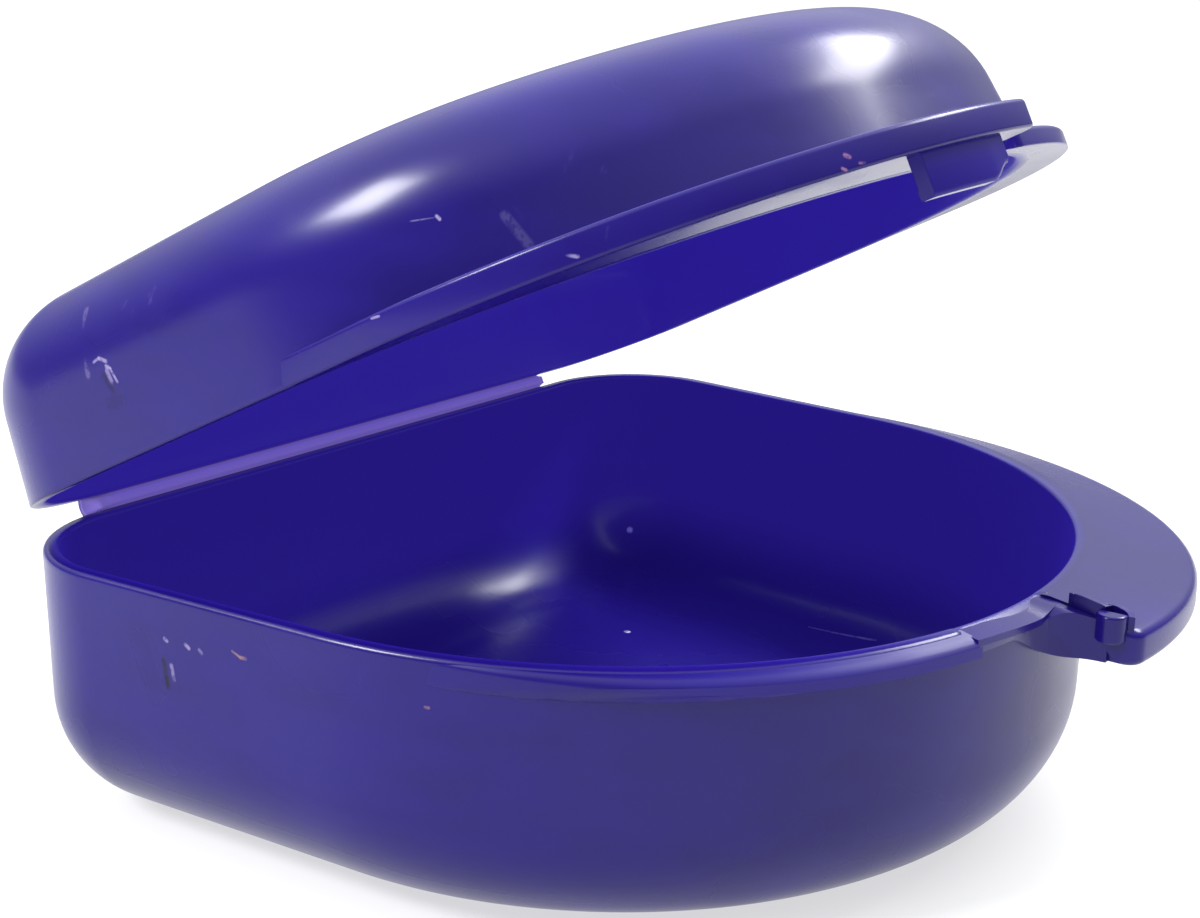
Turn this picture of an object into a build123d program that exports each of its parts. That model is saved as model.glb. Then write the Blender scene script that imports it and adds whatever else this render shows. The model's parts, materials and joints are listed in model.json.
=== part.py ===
from build123d import *
import os
from math import cos, radians, sin, sqrt

# Mouth guard case: a deep box and a domed lid, moulded in one piece and joined by a thin living hinge.
# Millimetres, +Z up. X runs along the hinge, and the thumb flanges face -Y.
# The origin is the centre of the flat base, half way between the back wall and the front of the rim.
# The lid is drawn part way open, as the case rests in use, and it closes about the hinge axis.

# Rim outline, seen from above: straight back, round corners, sides that close in, one front arc
half_width = 40.0
corner_radius = 10.5
side_taper = 4.6  # degrees
side_length = 21.7

# The two shells
wall = 1.25
tray_height = 20.8
tray_draft = 1.0  # degrees
base_round = 9.4
lid_height = 14.7
lid_draft = 3.5  # degrees
lid_round = 8.4
rim_ease = 0.35  # rounding of the inner rim edges
parting_gap = 0.15  # between the two rims when the lid is shut

# The living hinge
hinge_setback = 1.9  # hinge axis behind the back wall
hinge_drop = 1.0  # hinge axis below the tray's rim
hinge_length = 58.0
web_thickness = 0.45
web_seat = 0.75  # middle of the web's root below the tray's rim and above the lid's
lid_open = 26.0  # degrees between shut and the pose that is drawn

# The narrow band round the front of the tray's rim, under the lid's flange
band_width = 1.2
band_height = 2.1
band_ease = 0.3
band_fade = 4.0  # how far the band runs back past the centre of the front arc
catch_gap = 10.2  # opening between the end of the tray's band and its thumb flange
notch_depth = 0.5  # dip of the rim across that opening

# The thumb flanges: crescents whose edge is an arc set towards their own side
flange_reach = 6.8  # in front of the rim, at the mid plane
flange_radius = 33.9
flange_offset = 5.0  # centre of the flange's edge from the mid plane
flange_corner = 1.4
flange_ease = 0.6
flange_slope = 0.2  # fall of the tray flange's top, for each millimetre out from the rim
tray_flange_depth = 4.0
tray_flange_end = 0.0  # end face of the tray's flange from the mid plane
tray_flange_start = 6.4  # how far it runs back past the centre of its edge
lid_flange_step = 1.2  # edge of the lid's flange behind the tray's
lid_flange_start = 2.8
lid_flange_height = 2.1
lid_flange_end = 1.8

# The narrow flange round the lid's rim on the other side, which laps the tray's thumb flange
lap_width = 2.5  # in front of the rim, at its end
lap_radius = 35.3
lap_offset = 2.0  # centre of its edge from the mid plane
lap_corner = 0.5
lap_height = 1.0
lap_end = 1.7
lap_start = -6.7  # where it leaves the rim, from the centre of its edge
lap_ease = 0.5

# Latch: the lid's hook reaches under the end of the tray's band
ledge_width = 0.9
ledge_lip = 0.6
ledge_height = 1.9
hook_start = 6.5  # nearest end of the hook from the mid plane
hook_length = 7.9
hook_wall = 1.7
hook_inset = 0.25  # hook's face behind the edge of the lid's flange
hook_shelf = 0.75  # thickness of the shelf where it leaves the wall
hook_tip = 0.15  # thickness of the shelf at its inner edge
hook_ramp = 3.7  # how far in from that edge its underside slopes
hook_grip = 0.7  # how far the shelf reaches under the band
hook_clearance = 0.2  # under the band when the lid is shut

# The small post and the half round column at the end of the tray's flange
post_setback = 2.0  # in front of the rim
post_length = 2.8
post_width = 1.4
post_height = 0.45  # above the rim
post_round = 0.7
column_radius = 1.1
column_drop = 0.2
column_height = 2.0

# Places that follow from the sizes above
back_half = half_width - corner_radius
side_end_x = back_half + corner_radius * cos(radians(side_taper)) - side_length * sin(radians(side_taper))
front_radius = side_end_x / cos(radians(side_taper))
side_end_drop = (
    corner_radius * (1 + sin(radians(side_taper)))
    + side_length * cos(radians(side_taper))
)
centre_drop = side_end_drop - front_radius * sin(radians(side_taper))
rim_depth = centre_drop + front_radius
back_y = rim_depth / 2
front_y = -rim_depth / 2
front_centre_y = back_y - centre_drop
flange_centre_y = front_y - flange_reach + sqrt(flange_radius**2 - flange_offset**2)
flange_centre = (flange_offset, flange_centre_y)
lid_edge_radius = flange_radius - lid_flange_step
lap_centre_y = front_y - lap_width + sqrt(lap_radius**2 - (lap_end - lap_offset) ** 2)
rim_z = tray_height
hinge_y = back_y + hinge_setback
hinge_z = rim_z - hinge_drop
band_radius = front_radius + band_width
band_end = tray_flange_end - catch_gap
reach = 3 * rim_depth  # larger than the case, for cutting shapes

# Planes: the tray's rim, and the lid's rim as it stands open
tray_rim = Plane.XY.offset(rim_z)
to_hinge = Pos(0, hinge_y, hinge_z)
lid_swing = to_hinge * Rot(-lid_open, 0, 0) * Pos(0, -hinge_y, -hinge_z)
lid_rim = Plane(lid_swing * Pos(0, 0, rim_z + parting_gap))

os.makedirs("parts", exist_ok=True)


def rim_plan(inset=0.0):
    """The rim's outline as a face, drawn in by inset."""
    with BuildSketch() as plan:
        with BuildLine():
            front = JernArc((0, front_y + inset), (1, 0), front_radius - inset, 90 - side_taper)
            side = Line(front @ 1, front @ 1 + (front % 1) * side_length)
            corner = JernArc(side @ 1, side % 1, corner_radius - inset, 90 + side_taper)
            Line(corner @ 1, (0, back_y - inset))
            mirror(about=Plane.YZ)
        make_face()
    return plan.sketch


def bowl(plane, height, draft, rounding, inset=0.0):
    """Solid bowl standing on its rim: drafted sides and a rounded far end."""
    with BuildPart() as solid:
        with BuildSketch(plane):
            add(rim_plan(inset))
        extrude(amount=height, taper=draft)
        along = solid.faces().sort_by(Axis(plane.origin, plane.z_dir))
        far_end = along[-1] if height > 0 else along[0]
        fillet(far_end.edges(), rounding)
    return solid.part


def crescent(side, centre, radius, end_x, start, corner):
    """Plan of a flange on one side, from its end face to where its edge runs into the rim."""
    with BuildSketch() as plan:
        with Locations((side * centre[0], centre[1])):
            Circle(radius)
        keep = Align.MIN if side > 0 else Align.MAX
        with Locations((side * end_x, centre[1] + start)):
            Rectangle(reach, reach, align=(keep, Align.MAX), mode=Mode.INTERSECT)
        fillet(plan.vertices().sort_by(Axis.Y)[0], corner)
    return plan.sketch


def lid_crescent(radius, end_x=lid_flange_end):
    """Plan of the lid's flange, or of a shape with the same centre and another edge."""
    return crescent(-1, flange_centre, radius, end_x, lid_flange_start, flange_corner)


def ring(plane, profile):
    """Solid of revolution round the front arc's axis, from (radius, height) points of its profile."""
    section = Plane(
        origin=plane.from_local_coords((0, front_centre_y, 0)),
        x_dir=plane.x_dir,
        z_dir=-plane.y_dir,
    )
    with BuildPart() as solid:
        with BuildSketch(section):
            with BuildLine():
                Polyline(*profile, close=True)
            make_face()
        revolve(axis=Axis(section.origin, plane.z_dir))
    return solid.part


tray_blank = bowl(tray_rim, -tray_height, tray_draft, base_round)
lid_blank = bowl(lid_rim, lid_height, lid_draft, lid_round)

# Tray shell: the deep lower half
with BuildPart() as tray_shell:
    add(tray_blank)
    add(
        bowl(tray_rim, wall - tray_height, tray_draft, base_round - wall, wall),
        mode=Mode.SUBTRACT,
    )
    rim_face = tray_shell.faces().sort_by(Axis.Z)[-1]
    fillet(rim_face.inner_wires().edges(), rim_ease)
    with BuildSketch(tray_rim):
        with Locations((band_end, front_centre_y)):
            Rectangle(catch_gap, reach, align=(Align.MIN, Align.MAX))
    extrude(amount=-notch_depth, mode=Mode.SUBTRACT)

# Lid shell: the domed upper half, drawn open
with BuildPart() as lid_shell:
    add(lid_blank)
    add(
        bowl(lid_rim, lid_height - wall, lid_draft, lid_round - wall, wall),
        mode=Mode.SUBTRACT,
    )
    rim_face = lid_shell.faces().sort_by(Axis(lid_rim.origin, lid_rim.z_dir))[0]
    fillet(rim_face.inner_wires().edges(), rim_ease)

# Narrow band round the front of the tray's rim, on the -X side
with BuildPart() as tray_rim_band:
    with BuildSketch(tray_rim):
        with Locations((0, front_centre_y)):
            Circle(band_radius)
        with Locations((band_end, front_centre_y + band_fade)):
            Rectangle(reach, reach, align=(Align.MAX, Align.MAX), mode=Mode.INTERSECT)
    extrude(amount=-band_height)
    round_edges = tray_rim_band.faces().filter_by(GeomType.CYLINDER).edges()
    fillet(round_edges.filter_by(GeomType.CIRCLE), band_ease)
    add(tray_blank, mode=Mode.SUBTRACT)

# Ledge between the band and the flange: a lip at the rim that thins down the wall
with BuildPart() as tray_catch_ledge:
    add(
        ring(
            tray_rim,
            [
                (front_radius - wall, -notch_depth),
                (front_radius + ledge_width, -notch_depth),
                (front_radius + ledge_width, -notch_depth - ledge_lip),
                (front_radius, -ledge_height),
                (front_radius - wall, -ledge_height),
            ],
        )
    )
    with BuildSketch(tray_rim):
        with Locations((band_end, front_centre_y)):
            Rectangle(catch_gap, reach, align=(Align.MIN, Align.MAX))
    extrude(amount=-tray_height, mode=Mode.INTERSECT)
    add(tray_blank, mode=Mode.SUBTRACT)

# Tray thumb flange, on the +X side: flat underneath, its top falling away from the rim
far_radius = 2 * front_radius
far_fall = flange_slope * (far_radius - front_radius)
flange_profile = [
    (front_radius / 2, 0),
    (front_radius, 0),
    (far_radius, -far_fall),
    (far_radius, -far_fall - tray_flange_depth),
    (front_radius / 2, -tray_flange_depth),
]
with BuildPart() as tray_thumb_flange:
    with BuildSketch(tray_rim):
        add(crescent(1, flange_centre, flange_radius, tray_flange_end, tray_flange_start, flange_corner))
    extrude(amount=-tray_flange_depth)
    add(ring(tray_rim, flange_profile), mode=Mode.INTERSECT)
    edge_face = tray_thumb_flange.faces().filter_by(GeomType.CYLINDER).sort_by(SortBy.AREA)[-1]
    fillet(edge_face.edges().sort_by(Axis.Z)[0], flange_ease)
    fillet(edge_face.edges().sort_by(Axis.Z)[-1], flange_ease)
    add(tray_blank, mode=Mode.SUBTRACT)

# Lid latch flange, on the -X side: flat, above the tray's band
with BuildPart() as lid_latch_flange:
    with BuildSketch(lid_rim):
        add(lid_crescent(lid_edge_radius))
    extrude(amount=lid_flange_height)
    round_edges = lid_latch_flange.faces().filter_by(GeomType.CYLINDER).edges()
    fillet(round_edges.filter_by(GeomType.CIRCLE), flange_ease)
    add(lid_blank, mode=Mode.SUBTRACT)

# Lid lap flange, on the +X side: its underside falls with the top of the tray's flange
lap_profile = [
    (front_radius / 2, lap_height),
    (far_radius, lap_height),
    (far_radius, -far_fall),
    (front_radius, 0),
    (front_radius / 2, 0),
]
with BuildPart() as lid_lap_flange:
    with BuildSketch(lid_rim.offset(lap_height)):
        add(crescent(1, (lap_offset, lap_centre_y), lap_radius, lap_end, lap_start, lap_corner))
    extrude(amount=-lap_height - tray_flange_depth)
    add(ring(lid_rim, lap_profile), mode=Mode.INTERSECT)
    edge_face = lid_lap_flange.faces().filter_by(GeomType.CYLINDER).sort_by(SortBy.AREA)[-1]
    along_lid = Axis(lid_rim.origin, lid_rim.z_dir)
    fillet(edge_face.edges().sort_by(along_lid)[-1], lap_ease)
    add(lid_blank, mode=Mode.SUBTRACT)

# Latch hook under the lid's flange: a wall at the flange's edge with a shelf that reaches inward
hook_depth = band_height + hook_clearance + hook_shelf
hook_radius = lid_edge_radius - hook_inset
grip_radius = band_radius - hook_grip
hook_ramp_profile = [
    (grip_radius - hook_wall, -hook_depth),
    (grip_radius + hook_ramp, -hook_depth),
    (grip_radius, hook_shelf - hook_tip - hook_depth),
    (grip_radius - hook_wall, hook_shelf - hook_tip - hook_depth),
]
with BuildPart() as lid_latch_hook:
    with BuildSketch(lid_rim):
        add(lid_crescent(hook_radius))
    extrude(amount=-hook_depth)
    with BuildSketch(lid_rim):
        with Locations((0, front_centre_y)):
            Circle(grip_radius)
    extrude(amount=-hook_depth, mode=Mode.SUBTRACT)
    with BuildSketch(lid_rim):
        add(lid_crescent(hook_radius - hook_wall, 0))
    extrude(amount=hook_shelf - hook_depth, mode=Mode.SUBTRACT)
    add(ring(lid_rim, hook_ramp_profile), mode=Mode.SUBTRACT)
    with BuildSketch(lid_rim):
        with Locations((-hook_start, front_centre_y)):
            Rectangle(hook_length, reach, align=(Align.MAX, Align.MAX))
    extrude(amount=-hook_depth, mode=Mode.INTERSECT)

# Living hinge: a thin web that loops back from the tray's back wall to the lid's
tray_seat = Vector(0, back_y, rim_z - web_seat)
lid_seat = lid_rim.from_local_coords((0, back_y, web_seat))
web_crest = Vector(0, hinge_y, (tray_seat.Z + lid_seat.Z) / 2)
with BuildPart() as living_hinge:
    with BuildSketch(Plane.YZ):
        with BuildLine():
            loop = ThreePointArc(
                (tray_seat.Y, tray_seat.Z),
                (web_crest.Y, web_crest.Z),
                (lid_seat.Y, lid_seat.Z),
            )
            Line(loop @ 0 - (loop % 0) * web_thickness, loop @ 0)
            Line(loop @ 1, loop @ 1 + (loop % 1) * web_thickness)
        trace(line_width=web_thickness)
    extrude(amount=hinge_length / 2, both=True)
    add(tray_blank, mode=Mode.SUBTRACT)
    add(lid_blank, mode=Mode.SUBTRACT)

# Post that stands on the end of the tray's flange, in the gap between the lid's two flanges
post_y = front_y - post_setback
with BuildPart() as tray_latch_post:
    with BuildSketch(tray_rim.offset(post_height)):
        with Locations((tray_flange_end, post_y)):
            post_plan = Rectangle(post_width, post_length, align=(Align.MIN, Align.MAX))
        fillet(post_plan.vertices().group_by(Axis.X)[-1], post_round)
    extrude(amount=-tray_height / 2)
    add(
        ring(tray_rim, flange_profile),
        mode=Mode.SUBTRACT,
    )
    with BuildSketch(tray_rim.offset(-tray_flange_depth)):
        Rectangle(reach, reach)
    extrude(amount=-tray_height, mode=Mode.SUBTRACT)

# Half round column down the end face of the tray's flange, below the post's front end
with BuildPart() as tray_end_column:
    with BuildSketch(tray_rim.offset(-column_drop)):
        with Locations((tray_flange_end, post_y - post_length)):
            Circle(column_radius)
        with Locations((tray_flange_end, post_y - post_length)):
            Rectangle(reach, reach, align=(Align.MIN, Align.CENTER), mode=Mode.SUBTRACT)
    extrude(amount=-column_height)

pieces = {
    "tray_shell": tray_shell,
    "lid_shell": lid_shell,
    "tray_rim_band": tray_rim_band,
    "tray_catch_ledge": tray_catch_ledge,
    "tray_thumb_flange": tray_thumb_flange,
    "tray_latch_post": tray_latch_post,
    "tray_end_column": tray_end_column,
    "lid_latch_flange": lid_latch_flange,
    "lid_lap_flange": lid_lap_flange,
    "lid_latch_hook": lid_latch_hook,
    "living_hinge": living_hinge,
}
for name, piece in pieces.items():
    piece.part.label = name
    export_step(piece.part, f"parts/{name}.step")
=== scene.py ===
# %% [markdown]
# A mouth guard case is one moulding of violet plastic: a deep box, a domed lid, and a thin web
# of the same plastic between them that bends as the hinge. The frame gives the places and the
# joint. Here each region gets a smooth surface and a glossy plastic finish, so that the soft
# reflections run over it as they do on the real moulding.

# %% The frame and Blender's modules
import bpy
import json
import numpy as np
from math import cos, degrees, radians, sin, sqrt, tan
from mathutils import Matrix, Vector


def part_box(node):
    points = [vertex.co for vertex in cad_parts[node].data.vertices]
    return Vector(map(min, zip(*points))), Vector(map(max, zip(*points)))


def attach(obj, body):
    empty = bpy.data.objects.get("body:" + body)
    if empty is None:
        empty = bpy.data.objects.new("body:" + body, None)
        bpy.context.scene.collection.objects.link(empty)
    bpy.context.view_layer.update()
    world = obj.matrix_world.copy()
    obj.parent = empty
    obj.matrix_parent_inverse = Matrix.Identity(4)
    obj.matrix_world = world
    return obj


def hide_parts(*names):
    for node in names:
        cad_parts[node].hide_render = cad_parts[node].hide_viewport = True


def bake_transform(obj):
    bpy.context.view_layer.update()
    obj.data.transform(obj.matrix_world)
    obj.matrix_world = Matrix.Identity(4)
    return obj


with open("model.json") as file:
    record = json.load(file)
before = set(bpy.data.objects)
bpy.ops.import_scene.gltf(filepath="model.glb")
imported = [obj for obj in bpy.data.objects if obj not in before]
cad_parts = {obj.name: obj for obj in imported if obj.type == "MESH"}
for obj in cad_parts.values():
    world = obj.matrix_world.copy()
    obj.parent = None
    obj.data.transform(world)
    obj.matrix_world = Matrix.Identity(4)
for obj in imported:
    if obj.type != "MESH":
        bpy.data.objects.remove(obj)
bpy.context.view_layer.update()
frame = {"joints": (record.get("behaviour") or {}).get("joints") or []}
hinge = frame["joints"][0]
mm = 0.001

# %% [markdown]
# A moulding is drawn from a few sizes: its plan, its wall, and the draft that lets it leave the
# mould. The places could all be typed in, but then they could drift from the frame. So they are
# read from the frame's own boxes, and only what a box can't give, such as a wall or a rounding,
# is a number here.

# %% Sizes of the moulding
tray_low, tray_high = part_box("tray_shell")
half_width = tray_high.x
rim_z = tray_high.z
back_y, front_y = tray_high.y, tray_low.y

corner_radius = 10.5 * mm
side_taper = radians(4.6)
side_length = 21.7 * mm
wall = 1.25 * mm
rim_ease = 0.35 * mm
parting_gap = 0.15 * mm
hair = 0.02 * mm

tray_draft = radians(1.0)
base_round = 9.4 * mm
lid_height = 14.7 * mm
lid_draft = radians(3.5)
lid_round = 8.4 * mm
print("rim", round(2 * half_width / mm, 1), "mm wide,", round(rim_z / mm, 1), "mm above the base")

# %% Places that follow from them
side_end_x = half_width - corner_radius * (1 - cos(side_taper)) - side_length * sin(side_taper)
front_radius = side_end_x / cos(side_taper)
front_centre = np.array([0.0, front_y + front_radius])
corner_centre = np.array([half_width - corner_radius, back_y - corner_radius])
hinge_point = Vector(hinge["pos_m"])
hinge_axis = Vector(hinge["axis"])
lid_open = radians(-hinge["range_deg"][0])
lid_z = rim_z + parting_gap
print("front arc radius", round(front_radius / mm, 2), "mm")
print("lid open", round(degrees(lid_open), 1), "degrees")

# %% [markdown]
# The camera stands where the photographer's did: a little above the rim, off the near corner,
# close enough that the front of the tray looks larger than the back. It could be placed by eye.
# Its aim, distance and lens were worked out from the outline of both rims instead, because then
# every piece can be compared with the photograph line by line.

# %% Camera
camera_azimuth = radians(-53.93)
camera_elevation = radians(13.88)
camera_distance = 158.1 * mm
camera_target = Vector((3.80, 6.45, 27.90)) * mm
camera_roll = radians(1.0)


def towards(azimuth, elevation):
    """Direction from the case at an azimuth from the front and an elevation, in radians."""
    level_part = cos(elevation)
    return Vector((sin(azimuth) * level_part, -cos(azimuth) * level_part, sin(elevation)))


camera_data = bpy.data.cameras.new("camera")
camera_data.sensor_width = 36.0
camera_data.lens = 56.1
camera_data.shift_x = -0.0201
camera_data.shift_y = -0.0482
camera_data.clip_start = 0.005
camera = bpy.data.objects.new("camera", camera_data)
bpy.context.scene.collection.objects.link(camera)
bpy.context.scene.camera = camera
to_camera = towards(camera_azimuth, camera_elevation)
turn = (-to_camera).to_track_quat("-Z", "Y").to_matrix()
turn = turn @ Matrix.Rotation(camera_roll, 3, "Z")
camera.location = camera_target + to_camera * camera_distance
camera.rotation_mode = "QUATERNION"
camera.rotation_quaternion = turn.to_quaternion()
print("camera", round(camera_distance / mm), "mm away, lens", round(camera_data.lens, 1), "mm")

# %% [markdown]
# Every piece here is a grid of points: rows along one way, columns along the other. A mesh could
# also be modelled by hand, but a grid is worked out from the named sizes in one go. One helper
# turns such a grid into a mesh and joins its edges where the shape closes on itself. Its open
# ends get either a flat face or a fan of faces round one point.

# %% Helpers for angles, steps and the open lid
def arc(start, end, count):
    """Angles from start to end in degrees, as radians."""
    return np.radians(np.linspace(start, end, count))


def smooth(value, low, high):
    """0 below low, 1 above high, with a soft S between them: 3 t squared less 2 t cubed."""
    t = np.clip((value - low) / (high - low), 0, 1)
    return t * t * (3 - 2 * t)


def polar(centre, radius, angle):
    """Points at a radius and angle from a centre, and the outward normals there."""
    normal = np.column_stack([np.cos(angle), np.sin(angle)])
    return centre + np.reshape(radius, (-1, 1)) * normal, normal


def open_lid(points):
    """Points drawn for the shut lid, swung open about the hinge axis."""
    swing = np.array(Matrix.Rotation(lid_open, 3, hinge_axis))
    pivot = np.array(hinge_point)
    return (points - pivot) @ swing.T + pivot


print("the hinge axis is at", [round(c / mm, 1) for c in hinge_point], "mm")

# %% Mesh from a grid of points
crease_angle = radians(35.0)
bevel_steps = 3
thin_bevel, plain_bevel, wide_bevel = 0.10 * mm, 0.12 * mm, 0.15 * mm


def surface(name, grid, flip=False, ends="flat", bevel=0.0, inside=0.0):
    """Mesh through grid[row, column], with the last column joined to the first. The first and
    last row are closed by a flat face, or by a fan round their middle. Edges sharper than the
    crease angle stay sharp unless bevel, a width, rounds them. inside is a value for all points,
    for each row or for each point, which the plastic reads as an attribute of that name."""
    rows, columns = grid.shape[:2]
    index = np.arange(rows * columns).reshape(rows, columns)
    index = np.hstack([index, index[:, :1]])
    corners = [index[:-1, :-1], index[1:, :-1], index[1:, 1:], index[:-1, 1:]]
    faces = np.stack([corner.ravel() for corner in corners], axis=1).tolist()
    points = grid.reshape(-1, 3)
    first, last = index[0], index[-1]
    marked = inside if np.ndim(inside) == 2 else np.repeat(inside + np.zeros(rows), columns)
    marked = np.ravel(marked)
    if ends == "fan":
        points = np.vstack([points, grid[0].mean(axis=0), grid[-1].mean(axis=0)])
        marked = np.append(marked, [marked[0], marked[-1]])
        pole = np.full(columns, rows * columns)
        faces += np.stack([pole, first[:-1], first[1:]], axis=1).tolist()
        faces += np.stack([pole + 1, last[1:], last[:-1]], axis=1).tolist()
    else:
        faces += [first[:-1].tolist(), last[:-1][::-1].tolist()]
    if flip:
        faces = [face[::-1] for face in faces]
    mesh = bpy.data.meshes.new(name)
    mesh.from_pydata(points, [], faces)
    mesh.attributes.new("inside", "FLOAT", "POINT").data.foreach_set("value", marked)
    mesh.shade_smooth()
    mesh.set_sharp_from_angle(angle=crease_angle)
    made = bpy.data.objects.new(name, mesh)
    bpy.context.scene.collection.objects.link(made)
    if bevel:
        rounding = made.modifiers.new("edges", "BEVEL")
        rounding.width = bevel
        rounding.segments = bevel_steps
        rounding.limit_method = "ANGLE"
        rounding.angle_limit = crease_angle
        rounding.harden_normals = False
    print(name, len(mesh.vertices), "points,", len(mesh.polygons), "faces")
    return made

# %% [markdown]
# The outline of both rims is a straight back, two round corners, two sides that close in, and
# one long arc at the front. A drawn spline would come close, but true arcs stay smooth under a
# gloss. Each point carries its outward normal, so an inset outline is the same points moved along
# their normals: every arc keeps its centre, as in the mould.

# %% Outline of the rim
def rim_outline(per_arc=150, per_corner=44, per_line=24):
    """Points and outward normals once round the rim, seen from above, anticlockwise. The right
    half is the front arc, the side, the corner and the back, and the left half mirrors it."""
    taper = degrees(side_taper)
    front_points, front_normal = polar(front_centre, front_radius, arc(-90, -taper, per_arc))
    corner_points, corner_normal = polar(corner_centre, corner_radius, arc(-taper, 90, per_corner))
    share = np.linspace(0, 1, per_line + 2)[1:-1, None]
    side_points = front_points[-1] + share * (corner_points[0] - front_points[-1])
    side_normal = np.repeat(corner_normal[:1], per_line, axis=0)
    back_points = corner_points[-1] + share * ([0, back_y] - corner_points[-1])
    back_normal = np.repeat([[0.0, 1.0]], per_line, axis=0)
    points = np.vstack([front_points, side_points, corner_points, back_points, [[0, back_y]]])
    normals = np.vstack([front_normal, side_normal, corner_normal, back_normal, [[0, 1]]])
    points = np.vstack([points, points[-2:0:-1] * [-1, 1]])
    normals = np.vstack([normals, normals[-2:0:-1] * [-1, 1]])
    return points, normals


outline, outline_normal = rim_outline()
print("outline points:", len(outline))

# %% [markdown]
# A shell is a wall of even thickness, so it could be a sheet with a Solidify modifier. Here it is
# one closed surface instead, because the rim's two edges are then rounded in the same profile. It
# starts at the edge of the outer face, runs over the big rounding and along the drafted wall to
# the rim, turns over it and comes back along the inside. Each step says how far in from the rim's
# outline it lies, and how far from the rim's plane. Inside the last ring the rings shrink towards
# the middle.

# %% Profile of a shell
def wall_profile(height, draft, rounding, steps=24, down=16):
    """How far in and how far from the rim, from the edge of the flat face to the rim. The wall
    leans in by tan(draft) for each unit of height, and the rounding touches wall and face."""
    centre_in = (height - rounding) * tan(draft) + rounding / cos(draft)
    turned = arc(90, degrees(draft), steps)
    inset = centre_in - rounding * np.cos(turned)
    away = height - rounding + rounding * np.sin(turned)
    share = np.linspace(1, 0, down)[1:]
    return np.append(inset, inset[-1] * share), np.append(away, away[-1] * share)


def shell_profile(height, draft, rounding, outer_ease):
    """The whole profile: the outer wall, two quarter circles over the rim, and the inner wall,
    which is the outer one again with its height and rounding less by the wall."""
    inset, away = wall_profile(height, draft, rounding)
    inset_in, away_in = wall_profile(height - wall, draft, rounding - wall)
    outer, inner = arc(0, 90, 7), arc(90, 180, 8)
    rim_inset = np.append(outer_ease * (1 - np.cos(outer)), wall - rim_ease * (1 + np.cos(inner)))
    rim_away = np.append(outer_ease * (1 - np.sin(outer)), rim_ease * (1 - np.sin(inner)))
    keep_out, keep_in = away > 1.2 * outer_ease, away_in > 2 * rim_ease
    insets = np.concatenate([inset[keep_out], rim_inset, inset_in[keep_in][::-1] + wall])
    aways = np.concatenate([away[keep_out], rim_away, away_in[keep_in][::-1]])
    return insets, aways


for side_draft, name in ((tray_draft, "tray"), (lid_draft, "lid")):
    print(name, "wall leans in", round(tan(side_draft), 3), "mm for each mm of height")

# %% Shell over the outline
band_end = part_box("tray_rim_band")[1].x
notch_ease = 0.3 * mm
notch_fade = 2.5 * mm
nose_from, nose_to = 0.4, 0.95


def in_gap(points):
    """1 in the opening between the tray's band and its thumb flange, 0 elsewhere."""
    x, y = points[..., 0], points[..., 1]
    begun = smooth(x, band_end - notch_ease, band_end + notch_ease)
    return begun * (1 - smooth(x, -notch_ease, notch_ease)) * (y < front_centre[1])


def shell_grid(height, draft, rounding, side, outer_ease, notch_depth=0.0, nose=0.0):
    """Closed shell on the rim plane: side -1 hangs it below as a bowl and 1 stands it above.
    Gives the grid and, for each row, 0 outside to 1 inside. nose draws the front in with height,
    and notch_depth lowers the outer edge of the rim in the gap beside the band."""
    insets, aways = shell_profile(height, draft, rounding, outer_ease)
    depth = np.repeat(aways[:, None], len(outline), axis=1)
    drawn_in = nose * depth / height * smooth(-outline_normal[:, 1], nose_from, nose_to)
    rings = outline - (insets[:, None] + drawn_in)[..., None] * outline_normal
    outwards = np.clip(1 - insets / wall, 0, 1)[:, None]
    near_rim = np.clip(1 - depth / notch_fade, 0, 1)
    depth = depth + notch_depth * in_gap(rings) * outwards * near_rim
    shrink = np.linspace(0, 1, 30)[1:-1, None]
    middle = np.array([0, (back_y + front_y) / 2])
    outer_face = middle + (rings[:1] - middle) * shrink[..., None]
    inner_face = middle + (rings[-1:] - middle) * shrink[..., None]
    plan = np.concatenate([outer_face, rings, inner_face[::-1]])
    flat = np.ones((len(shrink), 1))
    depth = np.concatenate([flat * depth[:1], depth, flat * depth[-1:]])
    turned_in = smooth(insets, 0.35 * wall, wall)
    turned_in[: np.argmin(aways)] = 0
    inside = np.concatenate([0 * shrink[:, 0], turned_in, 1 + 0 * shrink[:, 0]])
    return np.dstack([plan, side * depth]), inside


print("the gap beside the band starts at x =", round(band_end / mm, 1), "mm")

# %% [markdown]
# The tray stands on its flat base and the lid is the same outline turned over: lower, with more
# draft. The photograph shows that the dome's nose leans back from the rim, so the lid's front is
# drawn in a little with height. It grows evenly, or the highlight on the dome would fork.

# %% Tray and lid
notch_depth = 0.5 * mm
tray_edge, lid_edge = 0.45 * mm, 0.2 * mm
lid_nose = 1.1 * mm

tray_grid, tray_inside = shell_grid(rim_z, tray_draft, base_round, -1, tray_edge, notch_depth)
tray = surface("tray_bowl", tray_grid + [0, 0, rim_z], flip=True, ends="fan", inside=tray_inside)
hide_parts("tray_shell")
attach(tray, "tray")

lid_grid, lid_inside = shell_grid(lid_height, lid_draft, lid_round, 1, lid_edge, nose=lid_nose)
lid = surface("lid_dome", open_lid(lid_grid + [0, 0, lid_z]), ends="fan", inside=lid_inside)
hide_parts("lid_shell")
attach(lid, "lid")

# %% [markdown]
# The thumb flanges are crescents: their edge is an arc of its own, set towards their side, so
# they are widest near the middle and run out into the rim. Cut from a plain disc, they would
# start with a blunt corner. The real ones leave the wall at a tangent, so the start of the edge
# is a short parabola.

# %% Arcs of the flanges
flange_radius = 33.9 * mm
flange_offset = 5.0 * mm
flange_reach = 6.8 * mm
flange_corner = 1.4 * mm
flange_slope = 0.2
lap_radius = 35.3 * mm
lap_offset = 2.0 * mm
lap_width = 2.5 * mm
lap_end = 1.7 * mm
lap_corner = 0.5 * mm


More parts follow.
